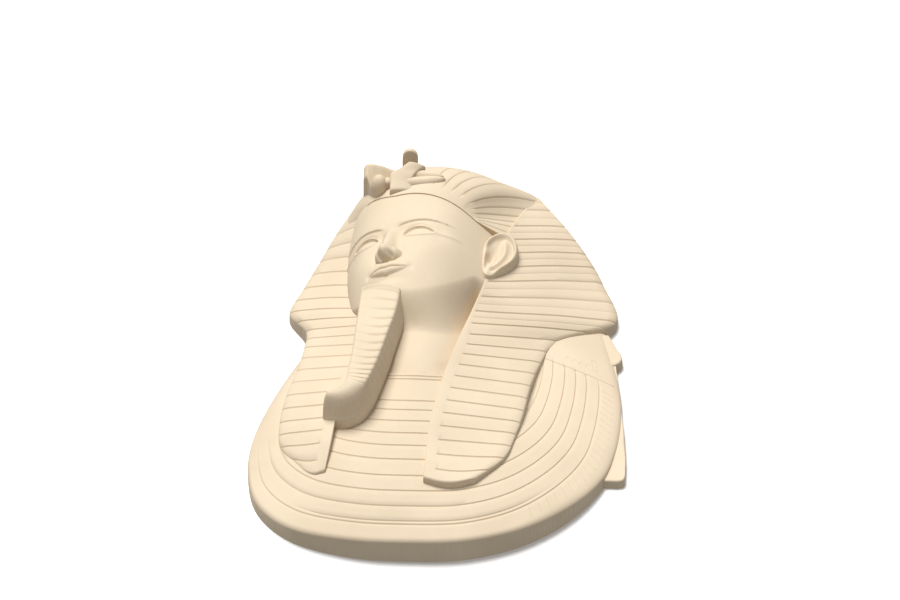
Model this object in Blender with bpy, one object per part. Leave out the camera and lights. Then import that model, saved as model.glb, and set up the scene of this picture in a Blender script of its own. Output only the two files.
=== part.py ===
"""A pharaoh's bust in high relief on a flat back, turned a little to the viewer's left.

It lies on its back: +X is the viewer's right, +Y runs from the collar's rim to the crown and +Z out of
the relief. The origin is under the middle of its box. The figure is drawn in units of its own length,
DRAWN_LENGTH of them from rim to crown, and each carved form is a grid over a named outline whose
sides go straight down to the back, as a relief is cut.
"""

import math

import bmesh
import bpy

LENGTH = 0.535
DRAWN_LENGTH = 535.0
UNIT = LENGTH / DRAWN_LENGTH
CENTRE_X = 3.6
CENTRE_Y = 267.0

GROOVE_DEPTH = 0.0014
GROOVE_WIDTH = 0.0036
PLAIT_DEPTH = 0.0015
FRONTLET_STEP = 0.0015
LAPPET_SWELL = 0.003
WING_SWELL = 0.0055
OUTER_ROUND = 0.011
END_ROUND = 0.003
RIM_ROUND_LEFT = 0.004
RIM_ROUND_RIGHT = 0.009
FLAP_THICKNESS = 0.0115
SHOULDER_THICKNESS = 0.0135

# Depth that each solid reaches below the back before all are cut flush
UNDERCUT = 0.004
UNDERCUT_STEP = 0.0007

# Collar: outer rim from the left shoulder round to the right one, as x, y and height of the rim
COLLAR_RIM = (
    (-126, 322, 12), (-151, 270, 14), (-174, 216, 15), (-190, 165, 15), (-194.5, 118, 15),
    (-183, 64, 17), (-146, 24, 22), (-86, 4, 28), (-25, 0, 30), (38, 5, 30), (98, 28, 28),
    (146, 67, 25), (178, 115, 19), (191, 165, 16), (194, 215, 15), (189, 262, 14), (172, 338, 12),
)
COLLAR_GROOVES = (0.098, 0.185, 0.268, 0.352, 0.445, 0.527, 0.602, 0.678, 0.748, 0.808, 0.955)
ROW_SHIFT = 0.085
NECK_CENTRE = (-23, 300)
NECK_HALF_WIDTH = 78
NECK_DROP = 92
NECK_HEIGHT = 73
SHOULDER_HEIGHT = 35
NECK_TURN = 0.3

# Headcloth sides, two stripes to each step, from the lappet's end up to the fold: x, y and height
STRIPES = 22
BORDER = 11.0
WING_BORDER = 3.0
GROOVE_START = 2.5
LEAST_WIDTH = 34.0
END_BOW = 7.0
RIGHT_INNER = (
    (-8, 66, 58), (-6.7, 98, 62), (-4.9, 136, 66), (0.3, 173, 68), (7.2, 209, 68.5), (14.6, 242, 68),
    (22.3, 272, 67), (32.2, 309, 67), (44, 352, 68), (55, 396, 67), (68.2, 443.5, 60), (90, 509.7, 37),
)
RIGHT_OUTER = (
    (46, 71, 54), (75, 106, 51), (86, 144, 49), (93, 179, 49), (98, 220, 45), (107, 263, 37),
    (123, 305, 27), (182, 350, 11), (167, 406, 12), (148, 443, 18), (124, 476, 27), (94, 511, 35),
)
LEFT_INNER = (
    (-112, 83, 46.5), (-107, 115, 58), (-103, 147, 63), (-96, 182, 67), (-82, 219, 67), (-76, 255, 64),
    (-72, 288, 60), (-70, 317, 59), (-72, 352, 58), (-76, 393, 59), (-78, 434, 63), (-74, 473, 68),
)
LEFT_OUTER = (
    (-140, 97, 36.5), (-160, 127, 36), (-163, 161, 38), (-158, 200, 39), (-149, 245, 32), (-143, 286, 25),
    (-142, 317, 19), (-161, 350, 10.5), (-149, 383, 13), (-133, 420, 18), (-118, 456, 23), (-96, 496, 33),
)

# Crown of the headcloth: its edge on the brow, and its outline round the top and down both folds
BAND_LEVEL = 446
BAND_DROP = 16
BAND_REACH = 70
BAND_END = 73
BAND_TILT = 0.3
BAND_TILT_REACH = 30
CROWN_TOP = (
    (-122, 446, 14), (-106, 478, 24), (-84, 508, 34), (-50, 527, 44), (-10, 534, 48), (30, 531, 46),
    (62, 522, 40), (93, 510, 35), (82, 470, 47), (73, 447, 55), (65, 424, 61),
)
CROWN_GROOVES = (0.46, 0.52, 0.58, 0.645, 0.72, 0.76, 0.80, 0.85, 0.905, 0.955)
CREST_SIDE = 0.70
LEFT_SINK = 15.0
FOLD_HOLLOW = 3.0

# Head: turned to the viewer's left, in its own axes (across, up, forward from the brow)
HEAD_TURN = math.radians(24)
HEAD_X = -56
HEAD_HEIGHT = 97
HEAD_HALF_WIDTH = 74
HEAD_DEPTH = 68
HEAD_TOP = 456
HEAD_REACH = 93
CHEEK_SHARE = 0.865
TUCK = 12.0
NECK_X = -22
NECK_RADIUS = 62
NECK_TOP = 72
NECK_SPREAD = 0.82
FACE_THIRD = 49.0
CHIN_LEVEL = 298.0
BROW_LEVEL = CHIN_LEVEL + 2 * FACE_THIRD
FOREHEAD_LEVEL = BROW_LEVEL + 14
NOSE_LEVEL = CHIN_LEVEL + FACE_THIRD
NOSE_TIP_LEVEL = NOSE_LEVEL + 7
MOUTH_LEVEL = NOSE_LEVEL - FACE_THIRD / 3
EYE_LEVEL = BROW_LEVEL - 12
EYE_SPACING = 30
EYE_HALF_LENGTH = 15.5
NOSE_HALF_WIDTH = 13
MOUTH_HALF_WIDTH = 22
JAW_RISE = 50
JAW_POWER = 3.0
NECKLINE_LEVEL = NECK_CENTRE[1] - NECK_DROP
HEAD_BOTTOM = NECKLINE_LEVEL - 8

# Beard: plaited, from the chin to its hooked tip
BEARD_LEFT = (
    (-84, 306, 103), (-85, 272, 106), (-87, 238, 108), (-89, 204, 109), (-92, 176, 109), (-94, 163, 108),
    (-98, 159, 105), (-106, 157, 100), (-115, 156, 95),
)
BEARD_RIGHT = (
    (-36, 304, 103), (-39, 272, 106), (-46, 238, 108), (-53, 204, 109), (-60, 176, 109), (-67, 156, 109),
    (-78, 142, 106), (-95, 138, 100), (-113, 146, 93),
)
BEARD_PLAITS = 18
PLAIT_SAG = 4.0
BEARD_TOP_BOW = 9.0
# Profiles of the beard's right side and of its hook's front, as distance inside the edge and drop
BEARD_SIDE = ((0.0, 26.0), (6.5, 1.2), (9.5, 0.0), (19.0, 0.0))
HOOK_FRONT = ((0.0, 30.0), (1.5, 25.0), (4.5, 21.0), (6.5, 12.0), (11.0, 3.5), (19.0, 0.0))

EAR_CENTRE = (57, 388)
EAR_HALF_WIDTH = 19
EAR_HALF_LENGTH = 34
EAR_LEAN = math.radians(-17)
EAR_HEIGHT = 70
EAR_SLOPE = -0.25
EAR_LOBE_NARROWING = 0.42

# Ornament on the brow: the cobra's hood and head, the vulture's head, beak and crest, and the coil
HOOD_LEFT = ((-60, 450, 101), (-60, 459, 104), (-59.5, 469, 108), (-51, 473, 111), (-41, 480, 115))
HOOD_RIGHT = ((-36.5, 451, 100), (-37.5, 459, 104), (-36, 465.5, 108), (-31, 472, 109.5), (-23.5, 477, 112))
HOOD_CROWNING = 1.5
COBRA_HEAD = (-40, 488)
COBRA_HALF_WIDTH = 8.2
COBRA_DEPTH = 6.0
COBRA_BASE = 108
COBRA_TOP = 122
VULTURE_HEAD = (-71.5, 464)
VULTURE_RADII = (9.0, 9.4)
VULTURE_BASE = 92
VULTURE_RISE = 15
BEAK = (-62.5, 464.5)
BEAK_RADII = (4.2, 4.6)
BEAK_BASE = 99
BEAK_RISE = 4.2
CREST_BACK = ((-88.5, 103), (-85, 107.5), (-78, 108), (-69, 105.5), (-60, 101), (-50, 97))
CREST_FRONT = ((-88.5, 471), (-84.5, 469), (-80, 460), (-74, 455), (-66, 453), (-50, 453))
CREST_BACK_Y = 484
CREST_SLOPE = 0.5
COIL_LOWER = ((-42, 462, 105), (-2, 469.5, 106))
COIL_UPPER = ((-42, 476.5, 106), (-3, 472.5, 106))
COIL_WIDTH = 12.0
COIL_RISE = 8.0
COIL_DIP = 6.0

# Tail of the headcloth behind the collar, and the shoulder's end, as outlines
FLAP_OUTLINE = ((166, 118), (202, 118), (193, 226), (184, 296), (166, 296))
SHOULDER_OUTLINE = ((176, 286), (184, 290), (190, 298), (187, 309), (175, 333), (150, 333), (150, 286))


def drawn(length):
    """A length in metres, in drawing units."""
    return length / UNIT


def spline(points, share):
    """The point at a share, 0 to 1, of a smooth curve through points spaced evenly along it."""
    last = len(points) - 1
    place = min(max(share, 0.0), 1.0) * last
    start = min(int(place), last - 1)
    part = place - start
    near = [points[min(max(start + step, 0), last)] for step in (-1, 0, 1, 2)]
    weights = (
        -0.5 * part + part**2 - 0.5 * part**3,
        1 - 2.5 * part**2 + 1.5 * part**3,
        0.5 * part + 2 * part**2 - 1.5 * part**3,
        -0.5 * part**2 + 0.5 * part**3,
    )
    axes = range(len(points[0]))
    return tuple(sum(weight * point[axis] for weight, point in zip(weights, near)) for axis in axes)


def mix(first, second, share):
    """A number, or a point, at a share of the way from first to second."""
    if isinstance(first, (int, float)):
        return first + (second - first) * share
    return tuple(a + (b - a) * share for a, b in zip(first, second))


def chain(points, value):
    """The height at a value along a chain of (value, height) points."""
    for (low, first), (high, second) in zip(points, points[1:]):
        if value <= high:
            return mix(first, second, (value - low) / (high - low))
    return points[-1][1]


def ease(value, low, high):
    """0 below low, 1 above high and a smooth S between."""
    part = min(max((value - low) / (high - low), 0.0), 1.0)
    return part * part * (3 - 2 * part)


def bump(distance, reach):
    """A soft hill, 1 at no distance and near nothing past twice its reach."""
    return math.exp(-((distance / reach) ** 2))


def spread(start, end, count):
    """Evenly spaced numbers, both ends included."""
    return [start + (end - start) * index / (count - 1) for index in range(count)]


def quarter_round(inside, radius):
    """How far a rounded edge of this radius has dropped at a distance inside it."""
    short = max(0.0, 1 - inside / radius)
    return radius * (1 - math.sqrt(max(0.0, 1 - short * short)))


def grooved_rows(centres, half_width, start, end):
    """Places of rows along a grooved surface with the share of the groove's depth at each: a V at every centre."""
    rows = [(start, 0.0)]
    for centre in centres:
        rows += [(centre - half_width, 0.0), (centre, 1.0), (centre + half_width, 0.0)]
    rows.append((end, 0.0))
    return rows


def material(name, colour, roughness):
    finish = bpy.data.materials.new(name)
    finish.use_nodes = True
    shader = finish.node_tree.nodes["Principled BSDF"]
    shader.inputs["Base Color"].default_value = (*colour, 1)
    shader.inputs["Roughness"].default_value = roughness
    shader.inputs["Metallic"].default_value = 0
    finish.diffuse_color = (*colour, 1)
    return finish


def mesh_object(name, shape, collection):
    bmesh.ops.recalc_face_normals(shape, faces=shape.faces)
    mesh = bpy.data.meshes.new(name)
    shape.to_mesh(mesh)
    shape.free()
    solid = bpy.data.objects.new(name, mesh)
    collection.objects.link(solid)
    return solid


def relief_solid(name, rows, collection, ring=False):
    """Closed solid under a grid of points in drawing units: straight sides, and a flat underside of its own depth."""
    floor = -UNDERCUT - UNDERCUT_STEP * len(collection.objects)
    shape = bmesh.new()
    grid = [
        [shape.verts.new(((x - CENTRE_X) * UNIT, (y - CENTRE_Y) * UNIT, z * UNIT)) for x, y, z in row]
        for row in rows
    ]
    width = len(grid[0])
    steps = width if ring else width - 1
    for lower, upper in zip(grid, grid[1:]):
        for column in range(steps):
            after = (column + 1) % width
            shape.faces.new((lower[column], lower[after], upper[after], upper[column]))
    if ring:
        shape.faces.new(grid[-1])
        edge = grid[0]
    else:
        right = [row[-1] for row in grid[1:-1]]
        left = [row[0] for row in reversed(grid[1:-1])]
        edge = grid[0] + right + grid[-1][::-1] + left
    foot = [shape.verts.new((vertex.co.x, vertex.co.y, floor)) for vertex in edge]
    for index, vertex in enumerate(edge):
        after = (index + 1) % len(edge)
        shape.faces.new((foot[index], foot[after], edge[after], vertex))
    shape.faces.new(foot)
    return mesh_object(name, shape, collection)


def prism(name, outline, height, collection):
    """Flat-topped solid over an outline in drawing units."""
    floor = -UNDERCUT - UNDERCUT_STEP * len(collection.objects)
    shape = bmesh.new()
    places = [((x - CENTRE_X) * UNIT, (y - CENTRE_Y) * UNIT) for x, y in outline]
    foot = [shape.verts.new((x, y, floor)) for x, y in places]
    top = [shape.verts.new((x, y, height)) for x, y in places]
    shape.faces.new(foot)
    shape.faces.new(top)
    for index in range(len(outline)):
        after = (index + 1) % len(outline)
        shape.faces.new((foot[index], foot[after], top[after], top[index]))
    return mesh_object(name, shape, collection)


def neck_ring(angle):
    """A point of the neckline, and the collar's height there."""
    x = NECK_CENTRE[0] - NECK_HALF_WIDTH * math.cos(angle)
    y = NECK_CENTRE[1] - NECK_DROP * math.sin(angle)
    return (x, y, mix(SHOULDER_HEIGHT, NECK_HEIGHT, max(0.0, math.sin(angle)) ** 3))


def collar_point(row, side, sunk):
    """A point of the collar: row goes from 0 at the rim to 1 at the neckline, side from 0 at the left to 1."""
    x, y, rim = spline(COLLAR_RIM, side)
    neck = neck_ring(mix(-NECK_TURN, math.pi + NECK_TURN, side))
    row += ROW_SHIFT * ease(side, 0.55, 0.85) * ease(row, 0, 0.09) * (1 - ease(row, 0.4, 1))
    height = mix(neck[2], rim, (1 - min(row, 1)) ** mix(3.2, 2, ease(side, 0.15, 0.45)))
    return (*mix((x, y), neck[:2], row), height - sunk)


def collar(collection):
    """Broad collar: a slab with a rounded rim, wider on the right, and a groove between each two rows."""
    span = NECKLINE_LEVEL
    depth = drawn(GROOVE_DEPTH)
    half_width = drawn(GROOVE_WIDTH) / 2 / span
    places = [(inside / span, 0.0) for inside in (0.0, 1.2, 4.0)]
    places += grooved_rows(COLLAR_GROOVES, half_width, drawn(RIM_ROUND_RIGHT) / span, 1.0)
    rows = []
    for place, share in places:
        row = []
        for side in spread(0, 1, 29):
            right = ease(side, 0.6, 0.75)
            radius = drawn(mix(RIM_ROUND_LEFT, RIM_ROUND_RIGHT, right))
            rim = quarter_round(min(place * span, radius), radius) * mix(1, 0.6, right)
            row.append(collar_point(place, side, rim + depth * share))
        rows.append(row)
    return relief_solid("collar", rows, collection)


def side_panel(name, inner, outer, collection):
    """One side of the headcloth with its lappet: a padded strip whose stripes stop short of the inner border."""
    depth = drawn(GROOVE_DEPTH)
    stripe = math.dist(inner[0][:2], inner[1][:2]) / 2
    half_width = drawn(GROOVE_WIDTH) / 2 / stripe / STRIPES
    centres = [index / STRIPES for index in range(1, STRIPES)]
    ends = (0.0, drawn(END_ROUND) / 3)
    places = [(inside / stripe / STRIPES, 0.0) for inside in ends]
    places += grooved_rows(centres, half_width, drawn(END_ROUND) / stripe / STRIPES, 1.0)
    rows = []
    for place, share in places:
        start, end = spline(inner, place), spline(outer, place)
        width = math.dist(start[:2], end[:2])
        narrow = min(1.0, width / LEAST_WIDTH)
        wing = ease(place, 0.5, 0.65)
        border = mix(BORDER, WING_BORDER, wing) * narrow
        plain = border + GROOVE_START * narrow
        rounding = drawn(OUTER_ROUND) * narrow
        swell = drawn(mix(LAPPET_SWELL, WING_SWELL, wing)) * (1 - ease(place, 0.75, 1.0))
        bow = END_BOW * (1 - ease(place, 0.0, 0.14))
        row = []
        insides = [0.0, 1.5 * narrow, border, plain, (plain + width - rounding) / 2]
        for inside in insides + [width - gap * rounding for gap in (1.0, 0.4, 0.1, 0.0)]:
            part = inside / width
            sunk = depth * share * ease(inside, border, plain)
            lift = swell * (1 - quarter_round(width - inside, rounding) / rounding)
            lift *= mix(1, ease(part, 0, 0.7), wing)
            drop = quarter_round(place * stripe * STRIPES, drawn(END_ROUND)) + 1.8 * (1 - ease(inside, 0, 1.5))
            x, y, z = mix(start, end, part)
            row.append((x, y - bow * math.sin(math.pi * part), z + lift - sunk - drop))
        rows.append(row)
    return relief_solid(name, rows, collection)


def band_level(across):
    """Level of the headcloth's edge on the forehead: highest left of the middle, and lower at the temples."""
    out = min(abs(across), BAND_END)
    tilt = BAND_TILT * min(max(-across, 0), BAND_TILT_REACH)
    return BAND_LEVEL - BAND_DROP * (out / BAND_REACH) ** 3 + tilt


def crown_brow(side):
    """A point of the headcloth's edge on the forehead: most of the crown's lines leave it near the right temple."""
    across = mix(-67, BAND_END, 1 - (1 - side) ** 2.2)
    x, y, z = head_point(across, band_level(across))
    return (x, y, z + drawn(FRONTLET_STEP))


def crown_point(side, rise, sunk):
    """A point of the crown: side 0 at the left fold and 1 at the right, rise 0 at the brow and 1 at the outline."""
    brow, top = crown_brow(side), spline(CROWN_TOP, side)
    roundness = mix(2.5, 1.3, ease(side, 0.6, 0.85))
    hollow = ease(side, CREST_SIDE, CREST_SIDE + 0.045) * (1 - ease(side, CREST_SIDE + 0.1, 1.0))
    height = top[2] + (brow[2] - top[2]) * (1 - rise**roundness)
    height -= LEFT_SINK * (1 - ease(side, 0.0, 0.1)) + FOLD_HOLLOW * hollow * math.sin(math.pi * rise) ** 0.8
    return (mix(brow[0], top[0], rise**1.3), mix(brow[1], top[1], rise), height - sunk)


def crown(collection):
    """Top of the headcloth: a dome with grooves that fan from the right temple, and a crest over the fold."""
    depth = drawn(GROOVE_DEPTH)
    rises = (0.0, 0.03, 0.1, 0.22, 0.36, 0.5, 0.64, 0.78, 0.9, 1.0)
    sides = [(side, 0.0) for side in spread(0.0, 0.4, 6)] + grooved_rows(CROWN_GROOVES, 0.007, 0.44, 1.0)
    rows = []
    for rise in rises:
        fade = ease(rise, 0.1, 0.28)
        rows.append([crown_point(side, rise, depth * share * fade) for side, share in sides])
    return relief_solid("crown", rows, collection)


def swelling(across, level, centre, radii, height):
    """Height of a rounded lump over an oval, steep at its edge."""
    far = ((across - centre[0]) / radii[0]) ** 2 + ((level - centre[1]) / radii[1]) ** 2
    return height * math.sqrt(max(0.0, 1 - far)) * ease(1 - far, 0.0, 0.12)


def blend(first, second, reach):
    """The larger of two heights, with the seam between them rounded."""
    gap = max(0.0, 1 - abs(first - second) / reach)
    return max(first, second) + gap * gap * reach / 4


def nose(across, level):
    """Height of the nose over the face: a bridge that widens to the tip, and its wings."""
    down = min(max((BROW_LEVEL + 2 - level) / (BROW_LEVEL + 2 - NOSE_TIP_LEVEL), 0.0), 1.0)
    half_width = mix(8.0, 9.0, down)
    ridge = max(0.0, 1 - (across / (half_width * 1.5)) ** 2) ** 2
    bridge = (3 * ease(down, 0, 0.25) + 14 * down) * ridge * ease(level, NOSE_LEVEL - 1, NOSE_TIP_LEVEL)
    tip = swelling(across, level, (0, NOSE_TIP_LEVEL - 1), (9.5, 9.0), 19.5)
    wing = swelling(abs(across), level, (NOSE_HALF_WIDTH - 5, NOSE_TIP_LEVEL - 2), (7.0, 7.0), 12.5)
    return blend(blend(bridge, tip, 4.0), wing, 3.0)


def eye(across, level):
    """Height of one eye over the face: the socket, the ball, its lids and the line drawn out from its corner."""
    out = abs(across) - EYE_SPACING
    along = out / EYE_HALF_LENGTH
    fill = max(0.0, 1 - abs(along) ** 2.2)
    corner = EYE_LEVEL + 0.6 * along
    upper = corner + 7.6 * fill**0.8
    lower = corner - 5.0 * fill**0.9
    socket = -7.0 * bump(out + 4, 20) * bump(level - EYE_LEVEL - 3, 11)
    ball = 6.4 * max(0.0, 1 - (along / 1.35) ** 2) ** 1.5 * bump(level - EYE_LEVEL - 1, 11)
    inside = ease(level, lower - 0.5, lower + 1.2) * (1 - ease(level, upper - 1.2, upper + 0.5)) * (abs(along) < 1)
    ends = 1 - ease(abs(along), 0.9, 1.12)
    lids = max(2.0 * bump(level - upper - 1.0, 1.8), 1.3 * bump(level - lower + 0.9, 1.5)) * ends
    line = 1.8 * bump(level - corner - 0.5, 2.2) * ease(out, 11, 16) * (1 - ease(out, 31, 36))
    return socket + ball - 1.5 * inside + max(lids, line)


def brow(across, level):
    """Height of the eyebrows: a raised band that arches over each eye."""
    out = abs(across)
    arch = BROW_LEVEL + 3 + 5 * math.sin(min(max((out - 8) / 50, 0.0), 1.0) * math.pi * 0.9)
    return 2.0 * bump(level - arch, 3.0) * ease(out, 6, 14) * (1 - ease(out, 54, 63))


def mouth(across, level):
    """Height of the mouth and chin over the face."""
    out = abs(across) / MOUTH_HALF_WIDTH
    fade = max(0.0, 1 - out**2) ** 0.7
    from_line = level - MOUTH_LEVEL - 1.2 * out**2
    lips = 4.2 * bump(from_line - 4.2 + out * 1.2, 4.0) + 4.6 * bump(from_line + 5.2, 4.6)
    parting = -2.6 * bump(from_line, 1.5)
    swell = 5.5 * bump(across, 25) * bump(level - MOUTH_LEVEL, 17)
    philtrum = -1.3 * bump(across, 3.2) * bump(level - MOUTH_LEVEL - 12, 4)
    chin = 5.5 * bump(across, 17) * bump(level - CHIN_LEVEL - 9, 10)
    return (lips + parting) * fade + swell + philtrum + chin


def jaw_rise(across):
    """How far the jaw's lower edge has risen above the chin."""
    return JAW_RISE * (min(abs(across), HEAD_HALF_WIDTH) / HEAD_HALF_WIDTH) ** JAW_POWER


def face_forward(across, level):
    """How far forward the face is, with the features on it: past the cheek its right side runs straight back."""
    width = HEAD_HALF_WIDTH - 13 * max(0.0, (BROW_LEVEL - level) / 100) ** 2
    reach = min(abs(across) / width, CHEEK_SHARE if across > 0 else 0.985)
    past = max(0.0, across / width - CHEEK_SHARE)
    slope = CHEEK_SHARE / math.sqrt(1 - CHEEK_SHARE**2)
    face = -HEAD_DEPTH * (1 - math.sqrt(1 - reach**2) + slope * past) - 5 * ease(level, BROW_LEVEL, HEAD_TOP)
    face -= 4 * ease(BROW_LEVEL - level, 40, 100)
    cheek = 3 * bump(abs(across) - 38, 17) * bump(level - NOSE_LEVEL - 14, 20)
    return face + nose(across, level) + eye(across, level) + brow(across, level) + mouth(across, level) + cheek


def head_point(across, level):
    """A point of the head and neck: the face over a round neck, tucked in above the headcloth's edge."""
    forward = face_forward(across, level)
    face = (
        HEAD_X + across * math.cos(HEAD_TURN) - forward * math.sin(HEAD_TURN),
        HEAD_HEIGHT + forward * math.cos(HEAD_TURN) + across * math.sin(HEAD_TURN),
    )
    off = across * NECK_SPREAD
    neck = (NECK_X + off, NECK_TOP - NECK_RADIUS * (1 - math.sqrt(1 - min(abs(off) / NECK_RADIUS, 0.98) ** 2)))
    shown = ease(level, CHIN_LEVEL - 30 + jaw_rise(across), CHIN_LEVEL + 5 + jaw_rise(across))
    x, z = mix(neck, face, shown)
    z -= TUCK * ease(level - band_level(across), 1.5, 6)
    ring = math.hypot((x - NECK_CENTRE[0]) / NECK_HALF_WIDTH, min(level - NECK_CENTRE[1], 0) / NECK_DROP)
    if level < NECK_CENTRE[1]:
        angle = math.atan2((NECK_CENTRE[1] - level) / NECK_DROP, (NECK_CENTRE[0] - x) / NECK_HALF_WIDTH)
        under = neck_ring(angle)[2] - 1.3 - 8 * ease(ring, 1.005, 1.05)
        z = mix(z, under, ease(ring, 0.8, 0.99) * (1 - shown))
    return (x, level, z)


def head_row(level, sides):
    """One row of the head's grid: level in the middle, and swept up with the jaw towards the sides."""
    if level < CHIN_LEVEL:
        swept = (level - HEAD_BOTTOM) / (CHIN_LEVEL - HEAD_BOTTOM)
    else:
        swept = max(0.0, (BROW_LEVEL - level) / (BROW_LEVEL - CHIN_LEVEL))
    return [head_point(across, level + jaw_rise(across) * swept) for across in sides]


def forehead_row(share, beyond, sides):
    """A row between the brows and the headcloth's edge at a share of the way, or some way beyond the edge."""
    return [head_point(across, mix(FOREHEAD_LEVEL, band_level(across), share) + beyond) for across in sides]


def head(collection):
    """Head and neck: one grid, closest where the features are."""
    levels = [HEAD_BOTTOM, NECKLINE_LEVEL + 4, CHIN_LEVEL - 45] + spread(CHIN_LEVEL - 28, CHIN_LEVEL + 4, 5)
    levels += [MOUTH_LEVEL - 18, MOUTH_LEVEL - 12] + spread(MOUTH_LEVEL - 8, MOUTH_LEVEL + 8, 8)
    levels += spread(NOSE_TIP_LEVEL - 10, NOSE_TIP_LEVEL + 8, 7) + [NOSE_TIP_LEVEL + 14]
    levels += spread(EYE_LEVEL - 7, EYE_LEVEL + 10, 8) + spread(BROW_LEVEL + 2, FOREHEAD_LEVEL, 4)
    sides = [-70, -63, -56, -49] + spread(-44, -16, 7) + [-12, -8, -4, 0, 4, 8, 12] + spread(16, 44, 7)
    sides += [49, 55, 62, 68, 76, 84, HEAD_REACH]
    rows = [head_row(level, sides) for level in levels]
    rows += [forehead_row(share, 0.0, sides) for share in (0.5, 1.0)]
    rows += [forehead_row(1.0, beyond, sides) for beyond in (2.0, 7.0)]
    return relief_solid("head", rows, collection)


def ear_height(u, v, share):
    """Height of the ear over its rim's plane: u and v run from -1 to 1 across and up, share from its middle out."""
    low = ease(-v, 0.45, 0.85)
    front = ease(-u, 0.55, 0.85) * ease(0.35 - v, 0.0, 0.3)
    helix = 4.5 * bump(share - 0.88, 0.09) * (1 - 0.75 * low) * (1 - 0.8 * front)
    fold_far = math.hypot(u + 0.32, (v + 0.02) * 0.95)
    antihelix = 3.6 * bump(fold_far - 0.66, 0.12) * ease(u, -0.35, 0.05) * (1 - ease(abs(v), 0.6, 0.85))
    concha = -6.5 * bump(math.hypot(u + 0.3, (v + 0.08) * 0.8), 0.36)
    tragus = 4.2 * bump(math.hypot(u + 0.74, (v + 0.16) * 0.8), 0.17)
    return helix + antihelix + concha + tragus


def ear(collection):
    """Ear: a shell with a rolled rim, an inner fold, a hollow, the small flap before it and a lobe."""
    rows = []
    for share in (1.0, 0.96, 0.88, 0.78, 0.66, 0.52, 0.38, 0.2):
        row = []
        for step in range(18):
            angle = 2 * math.pi * step / 18
            u, v = share * math.cos(angle), share * math.sin(angle)
            x = EAR_HALF_WIDTH * (u * (1 - EAR_LOBE_NARROWING * ease(-v, -0.4, 1)) - 0.1 * ease(-v, 0.0, 1.0))
            y = EAR_HALF_LENGTH * v
            height = EAR_HEIGHT + ear_height(u, v, share) - 5 * ease(share, 0.955, 1.0) + x * EAR_SLOPE
            turned = (
                x * math.cos(EAR_LEAN) - y * math.sin(EAR_LEAN),
                x * math.sin(EAR_LEAN) + y * math.cos(EAR_LEAN),
            )
            row.append((EAR_CENTRE[0] + turned[0], EAR_CENTRE[1] + turned[1], height))
        rows.append(row)
    return relief_solid("ear", rows, collection, ring=True)


def beard(collection):
    """Plaited beard: a tapering pad with a steep right side, and a hook with a soft front."""
    depth = drawn(PLAIT_DEPTH)
    rows = []
    for step in range(2 * BEARD_PLAITS + 1):
        place = step / (2 * BEARD_PLAITS)
        start, end = spline(BEARD_LEFT, place), spline(BEARD_RIGHT, place)
        width = math.dist(start[:2], end[:2])
        narrow = min(1.0, width / 30)
        hooked = ease(place, 0.58, 0.74)
        plait = depth * (step % 2 == 0) * (1 - ease(place, 0.55, 0.7))
        ends = 3.5 * (step == 0) + 4 * (place == 1)
        row = []
        insides = [0.0, 1.2 * narrow, 5 * narrow, (width - 14 * narrow) / 2]
        for inside in insides + [width - gap * narrow for gap in (19, 11, 6.5, 4.5, 1.5, 0.0)]:
            right = (width - inside) / narrow
            part = inside / width
            x, y, z = mix(start, end, part)
            middle = 1 - (2 * part - 1) ** 2
            side = mix(chain(BEARD_SIDE, right), chain(HOOK_FRONT, right), hooked)
            drop = quarter_round(inside, 4) + side + plait * ease(right, 1.0, 6.0) + ends
            bow = BEARD_TOP_BOW * (1 - ease(place, 0.0, 0.2)) - PLAIT_SAG * (1 - ease(place, 0.3, 0.6))
            row.append((x, y + bow * middle, z - drop))
        rows.append(row)
    return relief_solid("beard", rows[::-1], collection)


def hood(collection):
    """Cobra's spread hood, rising from the brow band and leaning to one side."""
    rows = []
    for place in (0.0, 0.06, 0.2, 0.35, 0.5, 0.65, 0.8, 0.94, 1.0):
        start, end = spline(HOOD_LEFT, place), spline(HOOD_RIGHT, place)
        row = []
        for part in (0.0, 0.08, 0.3, 0.5, 0.7, 0.92, 1.0):
            x, y, z = mix(start, end, part)
            drop = 2 * (part in (0.0, 1.0)) + 2 * (place in (0.0, 1.0))
            row.append((x, y, z + HOOD_CROWNING * (1 - (2 * part - 1) ** 2) - drop))
        rows.append(row)
    return relief_solid("hood", rows, collection)


def dome(name, centre, radii, base, rise, collection, segments=14):
    """Upright block with a domed top over an oval: centre and radii in the plane, base and rise are its heights."""
    rows = []
    for turn in (0, 25, 50, 72):
        share = math.cos(math.radians(turn))
        row = []
        for step in range(segments):
            angle = 2 * math.pi * step / segments
            x = centre[0] + radii[0] * share * math.cos(angle)
            y = centre[1] + radii[1] * share * math.sin(angle)
            row.append((x, y, base + rise * math.sin(math.radians(turn))))
        rows.append(row)
    return relief_solid(name, rows, collection, ring=True)


def crest(collection):
    """Crest behind the vulture's head: high and upright at its left end, sloping to the front and to the right."""
    left, right = CREST_BACK[0][0], CREST_BACK[-1][0]
    rows = []
    for x in [left, left + 1, left + 3.5] + spread(left + 8, right, 6):
        back, front = chain(CREST_BACK, x), chain(CREST_FRONT, x)
        row = []
        for across in (0.0, 0.08, 0.3, 0.6, 0.88, 1.0):
            y = mix(front, CREST_BACK_Y, across)
            drop = quarter_round(y - front, 2.5) + quarter_round(CREST_BACK_Y - y, 4) + quarter_round(x - left, 3)
            row.append((x, y, back - CREST_SLOPE * (CREST_BACK_Y - y) - drop))
        rows.append(row[::-1])
    return relief_solid("vulture_crest", rows, collection)


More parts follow.
